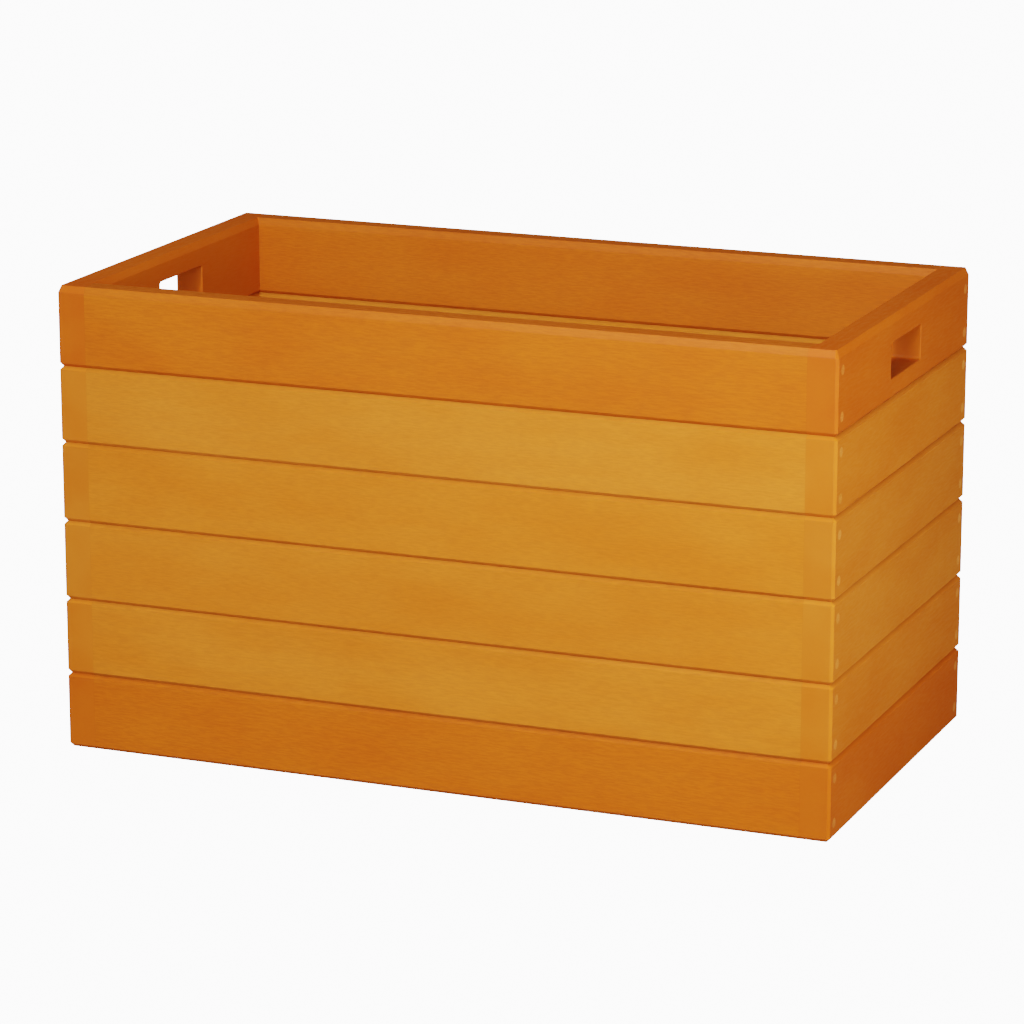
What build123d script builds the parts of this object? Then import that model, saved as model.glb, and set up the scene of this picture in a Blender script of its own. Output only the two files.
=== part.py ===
"""Open wooden apple box: six courses of boards doweled into a rectangular crate.

Frame: millimetres, +Z up, +X along the length, the front is at -Y.
The origin is on the ground, under the middle of the box.
"""
from build123d import *
import os

os.makedirs("parts", exist_ok=True)

# ---------------------------------------------------------------- driving dimensions
length = 500.0
depth = 266.0
course_heights = [48.0, 48.0, 50.0, 50.0, 48.0, 50.5]  # from the ground up
end_thickness = 18.5  # the end boards, which cover the ends of the long boards
long_thickness = 17.5  # the front and back boards

groove_chamfer = 2.2  # on every long edge, so that two courses meet in a V groove
corner_chamfer = 1.8  # on the four upright corners of the box
rim_inset = 2.0  # the rim's taller chamfer, measured across the top
rim_drop = 4.5  # and down the face

slot_length = 60.0  # hand slot through each top end board
slot_height = 22.0
slot_corner_radius = 2.0
slot_chamfer = 0.5
slot_centre_height = 267.4

dowel_radius = 3.0
dowel_clearance = 0.05  # between a dowel and the wall of its hole
dowel_lead = 0.6  # chamfer on the hidden ends of a dowel
corner_dowel_length = 50.0
corner_dowel_spacing = 27.5  # between the two dowels of one corner
rim_dowel_shift = -1.0  # the top course carries its pairs a little below its middle
edge_dowel_length = 30.0  # upright dowels between two courses
edge_dowel_length_share = 1 / 3  # how far from a long board's middle they stand, of the inner length
edge_dowel_depth_share = 5 / 16  # and from an end board's middle, of the inner depth
hole_spare = 0.5  # blind holes are this much deeper than their dowel or screw

floor_thickness = 12.0
floor_board_count = 6
floor_gap = 1.5  # between floor boards, and at the two ends of the floor
floor_end_gap = 0.5  # between a floor board's end and the long boards
floor_chamfer = 0.8
floor_screw_share = 0.3  # how far from a floor board's middle its screws stand, of the board's width
cleat_size = 18.0
cleat_lift = 4.0  # the cleats hang clear of the ground
cleat_end_gap = 0.5
cleat_chamfer = 1.0

screw_head_radius = 3.5
screw_shank_radius = 1.75
screw_tip_length = 3.0
screw_head_rim = 0.3  # straight edge of the countersunk head
floor_screw_length = 25.0
cleat_screw_length = 30.0
recess_width = 0.9  # cross recess in a screw head
recess_span = 4.0
recess_depth = 1.4
recess_taper = 12.0  # degrees, so that the recess narrows as it goes down

selection_reach = 0.01  # how near an edge has to be to a plane to count as lying on it

# ---------------------------------------------------------------- worked-out places
inner_length = length - 2 * end_thickness
inner_depth = depth - 2 * long_thickness
course_bases = [sum(course_heights[:i]) for i in range(len(course_heights))]
box_height = sum(course_heights)
hole_radius = dowel_radius + dowel_clearance

long_board_middle = depth / 2 - long_thickness / 2  # distance of a long board's middle from X
end_board_middle = length / 2 - end_thickness / 2  # distance of an end board's middle from Y
edge_dowels_along_length = [
    -inner_length * edge_dowel_length_share,
    0.0,
    inner_length * edge_dowel_length_share,
]
edge_dowels_along_depth = [
    -inner_depth * edge_dowel_depth_share,
    inner_depth * edge_dowel_depth_share,
]

cleat_middle = inner_depth / 2 - cleat_size / 2
cleat_top = cleat_lift + cleat_size
floor_top = cleat_top + floor_thickness
floor_board_width = (inner_length - (floor_board_count + 1) * floor_gap) / floor_board_count
floor_board_pitch = floor_board_width + floor_gap
floor_board_centres = [
    (i - (floor_board_count - 1) / 2) * floor_board_pitch for i in range(floor_board_count)
]
floor_screw_offset = floor_board_width * floor_screw_share  # each side of a floor board's middle
screw_head_height = screw_head_rim + screw_head_radius - screw_shank_radius

END_SIDES = {"left": -1, "right": 1}
LONG_SIDES = {"front": -1, "back": 1}


# ---------------------------------------------------------------- shared shapes
def course_ring(base, height, is_top):
    """One course as a closed ring with all its edges eased, before it is parted into boards."""
    with BuildPart() as ring:
        with BuildSketch(Plane.XY.offset(base)):
            Rectangle(length, depth)
            Rectangle(inner_length, inner_depth, mode=Mode.SUBTRACT)
        extrude(amount=height)
        upright = ring.edges().filter_by(Axis.Z)
        chamfer(upright.group_by(lambda edge: round(abs(edge.center().X)))[-1], corner_chamfer)
        chamfer(ring.faces().sort_by(Axis.Z)[0].edges(), groove_chamfer)
        upper_face = ring.faces().sort_by(Axis.Z)[-1]
        if is_top:
            chamfer(upper_face.edges(), rim_inset, rim_drop, reference=upper_face)
        else:
            chamfer(upper_face.edges(), groove_chamfer)
    return ring.part


def corner_dowel_heights(course):
    """Heights of the two corner dowels of one course."""
    middle = course_bases[course] + course_heights[course] / 2
    if course == len(course_heights) - 1:
        middle += rim_dowel_shift
    return [middle - corner_dowel_spacing / 2, middle + corner_dowel_spacing / 2]


def joints_of_course(course):
    """Heights of the glued joints under and over one course."""
    under = [course_bases[course]] if course > 0 else []
    over = [course_bases[course + 1]] if course < len(course_heights) - 1 else []
    return under, over


def cut_edge_dowel_holes(course, places):
    """Blind holes for the upright dowels, in a board's lower and upper edges."""
    reach = edge_dowel_length / 2 + hole_spare
    under, over = joints_of_course(course)
    for heights, way in ((under, 1), (over, -1)):
        for height in heights:
            with BuildSketch(Plane.XY.offset(height)) as holes:
                with Locations(*places):
                    Circle(hole_radius)
            extrude(holes.sketch, amount=way * reach, mode=Mode.SUBTRACT)


def dowel_profile(dowel_length, is_flush):
    """Half section of a dowel on XZ, standing on the origin. A flush end is left square."""
    lead = 0.0 if is_flush else dowel_lead
    corners = [(0, 0), (dowel_radius - lead, 0)]
    if lead > 0:
        corners.append((dowel_radius, lead))
    corners.append((dowel_radius, dowel_length - dowel_lead))
    corners.append((dowel_radius - dowel_lead, dowel_length))
    corners.append((0, dowel_length))
    return corners


def make_dowel(dowel_length, is_flush):
    """A round dowel along +Z from the origin."""
    with BuildPart() as dowel:
        with BuildSketch(Plane.XZ):
            with BuildLine():
                Polyline(*dowel_profile(dowel_length, is_flush), close=True)
            make_face()
        revolve(axis=Axis.Z)
    return dowel.part


def make_screw(screw_length):
    """A countersunk cross-head wood screw along -Z, its head flush with the origin."""
    with BuildPart() as screw:
        with BuildSketch(Plane.XZ):
            with BuildLine():
                Polyline(
                    (0, 0),
                    (screw_head_radius, 0),
                    (screw_head_radius, -screw_head_rim),
                    (screw_shank_radius, -screw_head_height),
                    (screw_shank_radius, screw_tip_length - screw_length),
                    (0, -screw_length),
                    close=True,
                )
            make_face()
        revolve(axis=Axis.Z)
        with BuildSketch(Plane.XY):
            Rectangle(recess_span, recess_width)
            Rectangle(recess_width, recess_span)
        extrude(amount=-recess_depth, taper=recess_taper, mode=Mode.SUBTRACT)
    return screw.part


def make_screw_hole(screw_length):
    """The space that a screw fills, a clearance wider all round, as a cutting tool."""
    with BuildPart() as tool:
        with BuildSketch(Plane.XZ):
            with BuildLine():
                Polyline(
                    (0, 0),
                    (screw_head_radius + dowel_clearance, 0),
                    (screw_head_radius + dowel_clearance, -screw_head_rim),
                    (screw_shank_radius + dowel_clearance, -screw_head_height - dowel_clearance),
                    (screw_shank_radius + dowel_clearance, -screw_length - hole_spare),
                    (0, -screw_length - hole_spare),
                    close=True,
                )
            make_face()
        revolve(axis=Axis.Z)
    return tool.part


# ---------------------------------------------------------------- the boards
def end_board(course, side, ring):
    """A board across one end: full depth, with the corner dowels' holes right through it."""
    sign = END_SIDES[side]
    outer_face = sign * length / 2
    with BuildPart() as board:
        add(ring)
        split(
            bisect_by=Plane.YZ.offset(sign * inner_length / 2),
            keep=Keep.TOP if sign > 0 else Keep.BOTTOM,
        )
        with BuildSketch(Plane.YZ.offset(outer_face)):
            for height in corner_dowel_heights(course):
                with Locations((-long_board_middle, height), (long_board_middle, height)):
                    Circle(hole_radius)
        extrude(amount=-sign * end_thickness, mode=Mode.SUBTRACT)
        cut_edge_dowel_holes(course, [(sign * end_board_middle, y) for y in edge_dowels_along_depth])
        if course == len(course_heights) - 1:
            cut_hand_slot(board, sign)
    board.part.label = f"{side}_end_board_{course + 1}"
    return board.part


def cut_hand_slot(board, sign):
    """A finger slot through an end board, its mouths chamfered inside and out."""
    outer_face = sign * length / 2
    inner_face = sign * inner_length / 2
    with BuildSketch(Plane.YZ.offset(outer_face)) as slot:
        with Locations((0, slot_centre_height)):
            RectangleRounded(slot_length, slot_height, slot_corner_radius)
    extrude(slot.sketch, amount=-sign * end_thickness, mode=Mode.SUBTRACT)
    side_reach = slot_length / 2 + selection_reach
    slot_low = slot_centre_height - slot_height / 2 - selection_reach
    slot_high = slot_centre_height + slot_height / 2 + selection_reach
    for face in (outer_face, inner_face):
        mouth = (
            board.edges()
            .filter_by_position(Axis.X, face - selection_reach, face + selection_reach)
            .filter_by_position(Axis.Y, -side_reach, side_reach)
            .filter_by_position(Axis.Z, slot_low, slot_high)
        )
        chamfer(mouth, slot_chamfer)


def long_board(course, side, ring):
    """A front or back board, held between the end boards by the corner dowels."""
    sign = LONG_SIDES[side]
    socket_depth = corner_dowel_length - end_thickness + hole_spare
    with BuildPart() as board:
        add(ring)
        split(bisect_by=Plane.YZ.offset(inner_length / 2), keep=Keep.BOTTOM)
        split(bisect_by=Plane.YZ.offset(-inner_length / 2), keep=Keep.TOP)
        split(bisect_by=Plane.ZX, keep=Keep.TOP if sign > 0 else Keep.BOTTOM)
        for end in (-1, 1):
            with BuildSketch(Plane.YZ.offset(end * inner_length / 2)):
                for height in corner_dowel_heights(course):
                    with Locations((sign * long_board_middle, height)):
                        Circle(hole_radius)
            extrude(amount=-end * socket_depth, mode=Mode.SUBTRACT)
        cut_edge_dowel_holes(course, [(x, sign * long_board_middle) for x in edge_dowels_along_length])
        if course == 0:
            add(cleat_screw_tools[side], mode=Mode.SUBTRACT)
    board.part.label = f"{side}_board_{course + 1}"
    return board.part


# ---------------------------------------------------------------- the dowels
def corner_dowels(course, side, dowel):
    """The four dowels that pin one end board to the front and back boards."""
    sign = END_SIDES[side]
    with BuildPart() as dowels:
        for height in corner_dowel_heights(course):
            for y in (-long_board_middle, long_board_middle):
                start = Plane(origin=(sign * length / 2, y, height), z_dir=(-sign, 0, 0))
                add(start * dowel)
    dowels.part.label = f"{side}_corner_dowels_{course + 1}"
    return dowels.part


def edge_dowels(course, dowel):
    """The upright dowels between one course and the next one up."""
    joint = course_bases[course + 1]
    places = [(x, s * long_board_middle) for x in edge_dowels_along_length for s in (-1, 1)]
    places += [(s * end_board_middle, y) for y in edge_dowels_along_depth for s in (-1, 1)]
    with BuildPart() as dowels:
        for x, y in places:
            add(Pos(x, y, joint - edge_dowel_length / 2) * dowel)
    dowels.part.label = f"edge_dowels_{course + 1}_{course + 2}"
    return dowels.part


# ---------------------------------------------------------------- the floor
def cleat_screw_planes(side):
    """Where the screws through one cleat start: on its inner face, heading outwards."""
    sign = LONG_SIDES[side]
    height = cleat_lift + cleat_size / 2
    inner_face = sign * (inner_depth / 2 - cleat_size)
    return [Plane(origin=(x, inner_face, height), z_dir=(0, -sign, 0)) for x in floor_board_centres]


def floor_screw_places():
    """Where the screws through the floor boards start, two at each end of a board."""
    return [
        Pos(x + offset, y, floor_top)
        for x in floor_board_centres
        for offset in (-floor_screw_offset, floor_screw_offset)
        for y in (-cleat_middle, cleat_middle)
    ]


def screw_group(screw, places, label):
    """Identical screws, one solid each, in one group."""
    with BuildPart() as screws:
        for place in places:
            add(place * screw)
    screws.part.label = label
    return screws.part


def cleat(side):
    """A square batten along the foot of a long board, which carries the floor."""
    sign = LONG_SIDES[side]
    with BuildPart() as batten:
        with BuildSketch(Plane.XY.offset(cleat_lift)):
            with Locations((0, sign * cleat_middle)):
                Rectangle(inner_length - 2 * cleat_end_gap, cleat_size)
        extrude(amount=cleat_size)
        inner_edges = batten.edges().filter_by(Axis.X).sort_by(lambda edge: abs(edge.center().Y))[:2]
        chamfer(inner_edges.sort_by(Axis.Z)[0], cleat_chamfer)
        add(cleat_screw_tools[side], mode=Mode.SUBTRACT)
        add(floor_screw_tool, mode=Mode.SUBTRACT)
    batten.part.label = f"{side}_cleat"
    return batten.part


def floor_board(index):
    """A floor board, which runs across the box and rests on both cleats."""
    with BuildPart() as board:
        with BuildSketch(Plane.XY.offset(cleat_top)):
            with Locations((floor_board_centres[index], 0)):
                Rectangle(floor_board_width, inner_depth - 2 * floor_end_gap)
        extrude(amount=floor_thickness)
        chamfer(board.faces().sort_by(Axis.Z)[-1].edges(), floor_chamfer)
        chamfer(board.faces().sort_by(Axis.Z)[0].edges().filter_by(Axis.Y), floor_chamfer)
        add(floor_screw_tool, mode=Mode.SUBTRACT)
    board.part.label = f"floor_board_{index + 1}"
    return board.part


# ---------------------------------------------------------------- making every piece
floor_screw_tool = screw_group(
    make_screw_hole(floor_screw_length), floor_screw_places(), "floor_screw_tool"
)
cleat_screw_tools = {
    side: screw_group(
        make_screw_hole(cleat_screw_length), cleat_screw_planes(side), f"{side}_cleat_screw_tool"
    )
    for side in LONG_SIDES
}

corner_dowel = make_dowel(corner_dowel_length, is_flush=True)
edge_dowel = make_dowel(edge_dowel_length, is_flush=False)

pieces = []
for course in range(len(course_heights)):
    is_top = course == len(course_heights) - 1
    ring = course_ring(course_bases[course], course_heights[course], is_top)
    for side in LONG_SIDES:
        pieces.append(long_board(course, side, ring))
    for side in END_SIDES:
        pieces.append(end_board(course, side, ring))
        pieces.append(corner_dowels(course, side, corner_dowel))
    if not is_top:
        pieces.append(edge_dowels(course, edge_dowel))

for side in LONG_SIDES:
    pieces.append(cleat(side))
for index in range(floor_board_count):
    pieces.append(floor_board(index))
pieces.append(screw_group(make_screw(floor_screw_length), floor_screw_places(), "floor_screws"))
all_cleat_planes = cleat_screw_planes("front") + cleat_screw_planes("back")
pieces.append(screw_group(make_screw(cleat_screw_length), all_cleat_planes, "cleat_screws"))

for piece in pieces:
    export_step(piece, f"parts/{piece.label}.step")

print(f"{len(pieces)} nodes, {length} x {depth} x {box_height} mm, floor top at {floor_top} mm")
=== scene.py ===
import math
import random

import bpy
from mathutils import Matrix, Vector


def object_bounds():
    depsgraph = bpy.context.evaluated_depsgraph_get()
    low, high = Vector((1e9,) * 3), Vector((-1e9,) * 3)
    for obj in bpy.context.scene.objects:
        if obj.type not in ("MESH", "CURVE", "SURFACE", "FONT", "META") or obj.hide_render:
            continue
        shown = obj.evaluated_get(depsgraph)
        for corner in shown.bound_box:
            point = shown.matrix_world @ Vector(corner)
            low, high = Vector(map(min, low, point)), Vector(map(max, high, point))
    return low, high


# An open wooden apple box: the finish of its boards, dowels and screws, and a pale studio round it.
# Lengths are in metres. X runs along the box, Y from its front to its back, and Z up.

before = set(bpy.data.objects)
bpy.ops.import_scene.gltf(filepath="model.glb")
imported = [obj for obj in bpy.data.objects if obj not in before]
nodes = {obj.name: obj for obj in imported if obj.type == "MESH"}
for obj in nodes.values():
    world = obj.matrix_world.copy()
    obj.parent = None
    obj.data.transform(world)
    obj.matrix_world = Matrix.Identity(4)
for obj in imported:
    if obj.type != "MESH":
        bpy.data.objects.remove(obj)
cad_low, cad_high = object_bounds()
box_centre = (cad_low + cad_high) / 2
box_length = cad_high.x - cad_low.x

COURSES = 6
TOP_COURSE = COURSES
OUTER_COURSES = (1, TOP_COURSE)  # these two courses are of redder wood than the four between them

# The deep and the pale colour that each kind of wood wanders between.
RED_DEEP, RED_PALE = (0.400, 0.061, 0.0026), (0.440, 0.076, 0.0040)
GOLD_DEEP, GOLD_PALE = (0.435, 0.091, 0.0050), (0.475, 0.113, 0.0085)
DOWEL_DEEP, DOWEL_PALE = (0.71, 0.184, 0.0245), (0.81, 0.235, 0.0415)
FLOOR_DEEP, FLOOR_PALE = (0.50, 0.135, 0.013), (0.60, 0.185, 0.026)

# A tint multiplies the colour: one for the long boards of a course, and one for its end boards.
# They were fitted to the photo under the lamps below, so they hold painted light and shade, making up for
# what those lamps get wrong, as well as the colour of the wood. The back and the left end take the tints
# of the sides that show.
PLAIN = (1.0, 1.0, 1.0)
DOWEL_TINTS = {
    6: (0.99, 0.79, 0.78),
    5: PLAIN,
    4: PLAIN,
    3: PLAIN,
    2: (0.98, 0.93, 0.92),
    1: (0.90, 0.75, 0.75),
}
LONG_TINTS_AND_LIGHT = {
    6: (1.00, 1.04, 0.98),
    5: (1.04, 1.11, 1.40),
    4: (1.02, 1.00, 1.02),
    3: (1.01, 0.99, 1.03),
    2: (1.02, 1.03, 1.13),
    1: (0.99, 1.01, 0.85),
}
END_TINTS_AND_LIGHT = {
    6: (1.14, 1.07, 1.05),
    5: (1.17, 1.08, 1.13),
    4: (1.14, 1.11, 1.25),
    3: (1.15, 1.14, 1.28),
    2: (1.13, 1.02, 0.97),
    1: (1.11, 1.05, 0.87),
}

# How far from a joint the painted shade in the grooves reaches, and how dark it is. Both are fitted to the
# photo.
GROOVE_REACH, GROOVE_PAINTED_SHADE = 0.0016, 0.76
END_REACH, END_SHADE = 0.0004, 0.84  # how far from the ends of a board the wood is darker, and by how much, on its end grain
NO_JOINTS = (-1.0, 1.0)  # far from the box, for pieces with no groove to darken

# Noise is given in cells to the metre, along the grain and the two ways across it.
CLOUD_CELLS = (11.0, 24.0, 30.0)
STREAK_CELLS = (30.0, 120.0, 240.0)
LONG_FIBRE_CELLS = (150.0, 450.0, 1150.0)
END_FIBRE_CELLS = (100.0, 350.0, 800.0)
SPANGLE_CELLS = (900.0, 900.0, 900.0)
NOISE_LOW, NOISE_HIGH = 0.25, 0.75  # noise seldom leaves this range
SHIFT_REACH = 9.0  # how far one board's stretch of the grain may lie from another's

LONG_LOOK = {
    "fibre_cells": LONG_FIBRE_CELLS,
    "fibre_depth": 0.12,  # how much the fibres change the colour
    "fibre_relief": 0.25,
    "streak_share": 0.25,  # how much of the change from deep to pale is in streaks, not clouds
}
RED_LONG_LOOK = {**LONG_LOOK, "fibre_depth": 0.14}
END_LOOK = {
    "fibre_cells": END_FIBRE_CELLS,
    "fibre_depth": 0.02,
    "fibre_relief": 0.15,
    "streak_share": 0.08,
}
FIBRE_HEIGHT = 0.00012
WOOD_ROUGH, WOOD_SMOOTH = 0.60, 0.48
WOOD_SHINE = 0.055

ZINC_DARK, ZINC_PALE = (0.42, 0.41, 0.38), (0.62, 0.61, 0.57)
ZINC_SMOOTH, ZINC_ROUGH = 0.28, 0.45
SPANGLE_HEIGHT, SPANGLE_RELIEF = 0.00005, 0.15

random.seed(61)


# ---------------------------------------------------------------- node trees

class Tree:
    """A material's nodes. Each method adds one node and gives its output socket."""

    def __init__(self, name):
        self.material = bpy.data.materials.new(name)
        self.material.use_nodes = True
        self.nodes = self.material.node_tree.nodes
        self.links = self.material.node_tree.links
        self.nodes.clear()

    def add(self, kind, inputs, **settings):
        node = self.nodes.new(kind)
        for key, value in settings.items():
            setattr(node, key, value)
        for socket, value in inputs.items():
            if isinstance(value, bpy.types.NodeSocket):
                self.links.new(value, node.inputs[socket])
            else:
                node.inputs[socket].default_value = value
        return node

    def maths(self, operation, a, b=0.0):
        return self.add("ShaderNodeMath", {0: a, 1: b}, operation=operation).outputs[0]

    def vector(self, operation, a, b):
        return self.add("ShaderNodeVectorMath", {0: a, 1: b}, operation=operation).outputs[0]

    def scaled(self, vector, factor):
        return self.add("ShaderNodeVectorMath", {0: vector, "Scale": factor}, operation="SCALE").outputs[0]

    def ramp(self, value, low, high, to_low=0.0, to_high=1.0):
        """A smooth step: to_low where the value is low or less, and to_high where it is high or more."""
        inputs = {"Value": value, "From Min": low, "From Max": high, "To Min": to_low, "To Max": to_high}
        return self.add("ShaderNodeMapRange", inputs, interpolation_type="SMOOTHSTEP").outputs[0]

    def mix(self, factor, a, b):
        inputs = {"Factor": factor, "A": a, "B": b}
        node = self.nodes.new("ShaderNodeMix")
        node.data_type = "RGBA"
        sockets = {s.name: s for s in node.inputs if s.enabled}
        for name, value in inputs.items():
            if isinstance(value, bpy.types.NodeSocket):
                self.links.new(value, sockets[name])
            elif name == "Factor":
                sockets[name].default_value = value
            else:
                sockets[name].default_value = (*value, 1)
        return [s for s in node.outputs if s.enabled][0]

    def noise(self, place, cells, detail=2.0, roughness=0.5):
        """Noise with this many cells to the metre along each of the three directions."""
        inputs = {"Vector": self.vector("MULTIPLY", place, cells), "Scale": 1.0}
        inputs.update({"Detail": detail, "Roughness": roughness})
        return self.add("ShaderNodeTexNoise", inputs).outputs["Fac"]

    def finish(self, colour, roughness, normal, **constants):
        """The surface itself. Anything that is the same all over is set on the shader's own socket."""
        surface = self.nodes.new("ShaderNodeBsdfPrincipled")
        self.links.new(colour, surface.inputs["Base Color"])
        self.links.new(roughness, surface.inputs["Roughness"])
        self.links.new(normal, surface.inputs["Normal"])
        for name, value in constants.items():
            surface.inputs[name.replace("_", " ")].default_value = value
        output = self.nodes.new("ShaderNodeOutputMaterial")
        self.links.new(surface.outputs[0], output.inputs["Surface"])
        return self.material


# ---------------------------------------------------------------- wood

# Which coordinate runs along the grain, and which two run across it.
GRAIN_ORDER = {"X": (0, 1, 2), "Y": (1, 0, 2), "Z": (2, 0, 1)}


def wood_place(tree, grain_axis):
    """Where a point is in its own piece of wood: along the grain, through the board, up the board."""
    place = tree.add("ShaderNodeTexCoord", {}).outputs["Object"]
    parts = tree.add("ShaderNodeSeparateXYZ", {0: place}).outputs
    along, through, up = (parts[i] for i in GRAIN_ORDER[grain_axis])
    turned = tree.add("ShaderNodeCombineXYZ", {0: along, 1: through, 2: up}).outputs[0]
    own = tree.add("ShaderNodeAttribute", {}, attribute_type="OBJECT", attribute_name="wood_shift")
    return tree.vector("ADD", turned, own.outputs["Vector"])


def painted_groove_shade(tree):
    """Painted shade down in the grooves, where one course meets the next."""
    place = tree.add("ShaderNodeTexCoord", {}).outputs["Object"]
    height = tree.add("ShaderNodeSeparateXYZ", {0: place}).outputs[2]
    joints = tree.add("ShaderNodeAttribute", {}, attribute_type="OBJECT", attribute_name="joint_heights")
    joints = tree.add("ShaderNodeSeparateXYZ", {0: joints.outputs["Vector"]}).outputs
    above = tree.maths("SUBTRACT", height, joints[0])
    below = tree.maths("SUBTRACT", joints[1], height)
    return tree.ramp(tree.maths("MINIMUM", above, below), 0.0, GROOVE_REACH, GROOVE_PAINTED_SHADE, 1.0)


def end_shade(tree, grain_axis):
    """Darker wood on the end grain, and in a hair line at the ends of each board."""
    place = tree.add("ShaderNodeTexCoord", {}).outputs["Object"]
    along = tree.add("ShaderNodeSeparateXYZ", {0: place}).outputs[GRAIN_ORDER[grain_axis][0]]
    ends = tree.add("ShaderNodeAttribute", {}, attribute_type="OBJECT", attribute_name="grain_ends")
    ends = tree.add("ShaderNodeSeparateXYZ", {0: ends.outputs["Vector"]}).outputs
    from_low = tree.maths("SUBTRACT", along, ends[0])
    from_high = tree.maths("SUBTRACT", ends[1], along)
    return tree.ramp(tree.maths("MINIMUM", from_low, from_high), 0.0, END_REACH, END_SHADE, 1.0)


def wood_material(name, grain_axis, deep, pale, look):
    """Satin finished softwood: short fine fibres, longer streaks, and soft clouds of deeper colour."""
    tree = Tree(name)
    place = wood_place(tree, grain_axis)
    clouds = tree.noise(place, CLOUD_CELLS, detail=2.0, roughness=0.5)
    streaks = tree.noise(place, STREAK_CELLS, detail=3.0, roughness=0.6)
    fibres = tree.noise(place, look["fibre_cells"], detail=3.0, roughness=0.65)
    cloud_part = tree.maths("MULTIPLY", clouds, 1 - look["streak_share"])
    streak_part = tree.maths("MULTIPLY", streaks, look["streak_share"])
    depth = tree.ramp(tree.maths("ADD", cloud_part, streak_part), NOISE_LOW, NOISE_HIGH)
    colour = tree.mix(depth, deep, pale)
    light = tree.ramp(fibres, NOISE_LOW, NOISE_HIGH, 1 - look["fibre_depth"], 1 + look["fibre_depth"])
    # painted shade in the grooves, times the darker colour of the end grain
    shade = tree.maths("MULTIPLY", painted_groove_shade(tree), end_shade(tree, grain_axis))
    colour = tree.scaled(colour, tree.maths("MULTIPLY", light, shade))
    # the object's tint: the colour of its wood, with painted light and shade fitted into it
    tint = tree.add("ShaderNodeObjectInfo", {}).outputs["Color"]
    colour = tree.vector("MULTIPLY", colour, tint)
    roughness = tree.ramp(fibres, 0.3, 0.7, WOOD_ROUGH, WOOD_SMOOTH)
    relief = {"Strength": look["fibre_relief"], "Distance": FIBRE_HEIGHT, "Height": fibres}
    bump = tree.add("ShaderNodeBump", relief)
    return tree.finish(colour, roughness, bump.outputs[0], Specular_IOR_Level=WOOD_SHINE)


def screw_material():
    """Zinc plated steel, brushed a little by the driver."""
    tree = Tree("screw_zinc")
    place = tree.add("ShaderNodeTexCoord", {}).outputs["Object"]
    spangle = tree.noise(place, SPANGLE_CELLS, detail=3.0, roughness=0.6)
    colour = tree.mix(tree.ramp(spangle, 0.35, 0.65), ZINC_DARK, ZINC_PALE)
    roughness = tree.ramp(spangle, 0.3, 0.7, ZINC_SMOOTH, ZINC_ROUGH)
    relief = {"Strength": SPANGLE_RELIEF, "Distance": SPANGLE_HEIGHT, "Height": spangle}
    bump = tree.add("ShaderNodeBump", relief)
    return tree.finish(colour, roughness, bump.outputs[0], Metallic=1.0)


def give(node_name, material, grain_axis="X", tint=PLAIN, joint_heights=NO_JOINTS):
    """Finishes one CAD node: its stretch of the grain, its tint, and where its ends and joints are."""
    piece = nodes[node_name]
    if not piece.data.materials:
        piece.data.materials.append(material)
    for slot in piece.material_slots:
        slot.material = material
    reach = [corner.co["XYZ".index(grain_axis)] for corner in piece.data.vertices]
    piece["wood_shift"] = [random.uniform(-SHIFT_REACH, SHIFT_REACH) for _ in range(3)]
    piece["grain_ends"] = [min(reach), max(reach), 0.0]
    piece["joint_heights"] = [*joint_heights, 0.0]
    piece.color = (*tint, 1.0)


def joint_heights_of(node_name, course):
    """The heights of the joints under and over a board. The foot and the rim of the box are not joints."""
    heights = [corner.co.z for corner in nodes[node_name].data.vertices]
    low = NO_JOINTS[0] if course == 1 else min(heights)
    high = NO_JOINTS[1] if course == TOP_COURSE else max(heights)
    return low, high


red_long = wood_material("red_wood_long", "X", RED_DEEP, RED_PALE, RED_LONG_LOOK)
red_end = wood_material("red_wood_end", "Y", RED_DEEP, RED_PALE, END_LOOK)
gold_long = wood_material("gold_wood_long", "X", GOLD_DEEP, GOLD_PALE, LONG_LOOK)
gold_end = wood_material("gold_wood_end", "Y", GOLD_DEEP, GOLD_PALE, END_LOOK)
dowel_flat = wood_material("dowel_wood_flat", "X", DOWEL_DEEP, DOWEL_PALE, LONG_LOOK)
dowel_upright = wood_material("dowel_wood_upright", "Z", DOWEL_DEEP, DOWEL_PALE, LONG_LOOK)
floor_wood = wood_material("floor_wood", "Y", FLOOR_DEEP, FLOOR_PALE, LONG_LOOK)
cleat_wood = wood_material("cleat_wood", "X", FLOOR_DEEP, FLOOR_PALE, LONG_LOOK)
zinc = screw_material()

for course in range(1, COURSES + 1):
    long_wood, end_wood = (red_long, red_end) if course in OUTER_COURSES else (gold_long, gold_end)
    for side in ("front", "back"):
        board = f"{side}_board_{course}"
        give(board, long_wood, "X", LONG_TINTS_AND_LIGHT[course], joint_heights_of(board, course))
    for side in ("left", "right"):
        board = f"{side}_end_board_{course}"
        give(board, end_wood, "Y", END_TINTS_AND_LIGHT[course], joint_heights_of(board, course))
        give(f"{side}_corner_dowels_{course}", dowel_flat, "X", DOWEL_TINTS[course])
for name in sorted(nodes):
    if name.startswith("edge_dowels"):
        give(name, dowel_upright, "Z")
    elif name.startswith("floor_board"):
        give(name, floor_wood, "Y")
    elif name.endswith("cleat"):
        give(name, cleat_wood, "X")
    elif name.endswith("screws"):
        give(name, zinc)


# ---------------------------------------------------------------- camera

VIEW_AZIMUTH, VIEW_ELEVATION = math.radians(22.1), math.radians(14.52)
VIEW_DISTANCE = 2.668
VIEW_LENS = 150.0
AIM_RIGHT, AIM_UP = -0.00375, -0.00299  # the view's middle is this far from the box's own

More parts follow.
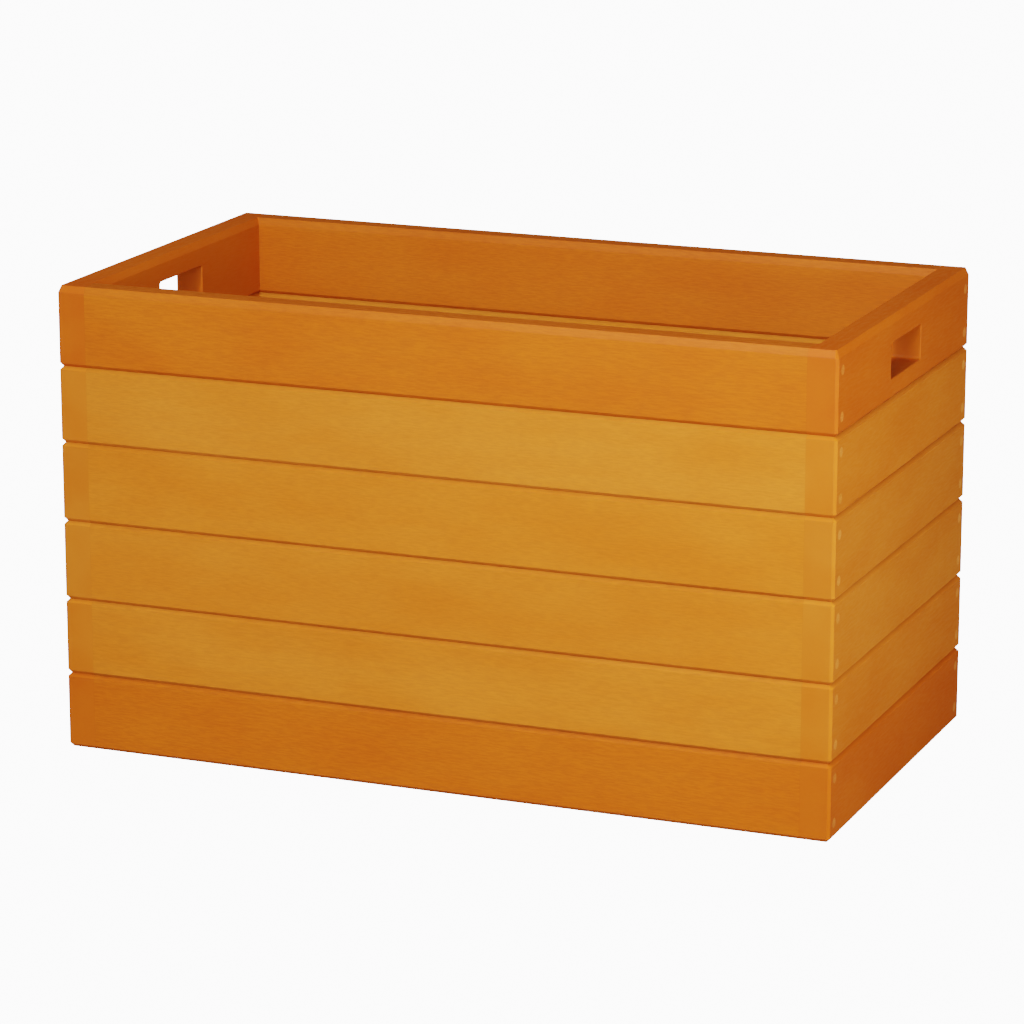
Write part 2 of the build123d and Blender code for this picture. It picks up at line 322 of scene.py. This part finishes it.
back = Vector((math.sin(VIEW_AZIMUTH) * math.cos(VIEW_ELEVATION),
               -math.cos(VIEW_AZIMUTH) * math.cos(VIEW_ELEVATION),
               math.sin(VIEW_ELEVATION)))
right = Vector((math.cos(VIEW_AZIMUTH), math.sin(VIEW_AZIMUTH), 0.0))
up = back.cross(right)
camera = bpy.data.objects.new("camera", bpy.data.cameras.new("camera"))
bpy.context.scene.collection.objects.link(camera)
camera.data.lens = VIEW_LENS
camera.matrix_world = Matrix((right, up, back)).transposed().to_4x4()
camera.location = box_centre + right * AIM_RIGHT + up * AIM_UP + back * VIEW_DISTANCE
bpy.context.scene.camera = camera


# ---------------------------------------------------------------- studio

bpy.context.scene.view_settings.view_transform = "Filmic"
WHITE = (1.0, 1.0, 1.0, 1.0)
SEEN_WHITE = 8.0  # the floor and the backdrop as the camera sees them
ROOM_LIGHT = 0.225
FLOOR_GREY = (0.34, 0.34, 0.34, 1.0)  # the floor as the light sees it
FLOOR_REACH = 15.0
FLOOR_OVERLAP = 0.006  # how far the floor reaches in under the walls of the box


def area_light(name, azimuth, elevation, distance, size, power, lights=True, shines=True):
    """A round lamp aimed at the box, placed in degrees round it (0 is in front) and in box lengths.

    One that doesn't shine lights the wood, but leaves no gloss on it. One that doesn't light only
    leaves gloss.
    """
    turn, lift = math.radians(azimuth), math.radians(elevation)
    away = Vector((math.sin(turn) * math.cos(lift), -math.cos(turn) * math.cos(lift), math.sin(lift)))
    lamp = bpy.data.objects.new(name, bpy.data.lights.new(name, "AREA"))
    lamp.data.shape = "DISK"
    lamp.data.size = size * box_length
    lamp.data.energy = power
    lamp.location = box_centre + away * distance * box_length
    lamp.rotation_mode = "QUATERNION"
    lamp.rotation_quaternion = away.to_track_quat("Z", "Y")
    lamp.visible_diffuse = lights
    lamp.visible_glossy = shines
    bpy.context.scene.collection.objects.link(lamp)


def pale_floor():
    """A plain white floor. It is left out under the box and unseen from below, to show the underside."""
    corners = []
    outside = (FLOOR_REACH, FLOOR_REACH)
    inside = (cad_high.x - FLOOR_OVERLAP, cad_high.y - FLOOR_OVERLAP)
    for reach_x, reach_y in (outside, inside):
        corners += [(-reach_x, -reach_y, cad_low.z), (reach_x, -reach_y, cad_low.z),
                    (reach_x, reach_y, cad_low.z), (-reach_x, reach_y, cad_low.z)]
    sides = [(i, (i + 1) % 4, (i + 1) % 4 + 4, i + 4) for i in range(4)]
    mesh = bpy.data.meshes.new("floor")
    mesh.from_pydata(corners, [], sides)
    floor = bpy.data.objects.new("floor", mesh)
    bpy.context.scene.collection.objects.link(floor)
    tree = Tree("pale_floor")
    plain = tree.add("ShaderNodeBsdfDiffuse", {"Color": FLOOR_GREY}).outputs[0]
    glow = tree.add("ShaderNodeEmission", {"Color": WHITE, "Strength": SEEN_WHITE}).outputs[0]
    clear = tree.add("ShaderNodeBsdfTransparent", {}).outputs[0]
    from_below = tree.add("ShaderNodeNewGeometry", {}).outputs["Backfacing"]
    shown = tree.add("ShaderNodeMixShader", {0: from_below, 1: glow, 2: clear}).outputs[0]
    seen = tree.add("ShaderNodeLightPath", {}).outputs["Is Camera Ray"]
    both = tree.add("ShaderNodeMixShader", {0: seen, 1: plain, 2: shown}).outputs[0]
    tree.add("ShaderNodeOutputMaterial", {"Surface": both})
    mesh.materials.append(tree.material)
    floor.visible_glossy = False


def soft_room(strength):
    """Soft even light from all round, and a white backdrop to the camera."""
    world = bpy.data.worlds.new("room")
    bpy.context.scene.world = world
    world.cycles_visibility.glossy = False
    world.use_nodes = True
    web = world.node_tree
    web.nodes.clear()
    fill = web.nodes.new("ShaderNodeBackground")
    fill.inputs["Strength"].default_value = strength
    shown = web.nodes.new("ShaderNodeBackground")
    shown.inputs["Strength"].default_value = SEEN_WHITE
    for node in (fill, shown):
        node.inputs["Color"].default_value = WHITE
    path = web.nodes.new("ShaderNodeLightPath")
    mix = web.nodes.new("ShaderNodeMixShader")
    output = web.nodes.new("ShaderNodeOutputWorld")
    web.links.new(path.outputs["Is Camera Ray"], mix.inputs[0])
    web.links.new(fill.outputs[0], mix.inputs[1])
    web.links.new(shown.outputs[0], mix.inputs[2])
    web.links.new(mix.outputs[0], output.inputs["Surface"])


# These lamps were fitted to the photo's shading. The real ones aren't known.
area_light("key", azimuth=2.4, elevation=21.3, distance=8.35, size=3.6, power=123.0)
area_light("high_key", azimuth=1.0, elevation=37.5, distance=6.5, size=0.6, power=62.0)
area_light("fill", azimuth=25.0, elevation=28.9, distance=1.54, size=0.45, power=2.3)
area_light("side", azimuth=71.0, elevation=11.3, distance=1.8, size=0.29, power=4.7)
area_light("sheen", azimuth=0.0, elevation=34.0, distance=1.5, size=0.4, power=3.0, lights=False)
# The other lamps keep the sides that the photo doesn't show from going dark.
area_light("overhead", azimuth=0.0, elevation=86.0, distance=4.0, size=1.5, power=1.0, shines=False)
area_light("back", azimuth=196.0, elevation=2.0, distance=4.0, size=1.5, power=32.0, shines=False)
area_light("left", azimuth=262.0, elevation=2.0, distance=4.0, size=1.5, power=14.0, shines=False)
area_light("under", azimuth=0.0, elevation=-88.0, distance=4.0, size=1.5, power=30.0, shines=False)
soft_room(ROOM_LIGHT)
pale_floor()
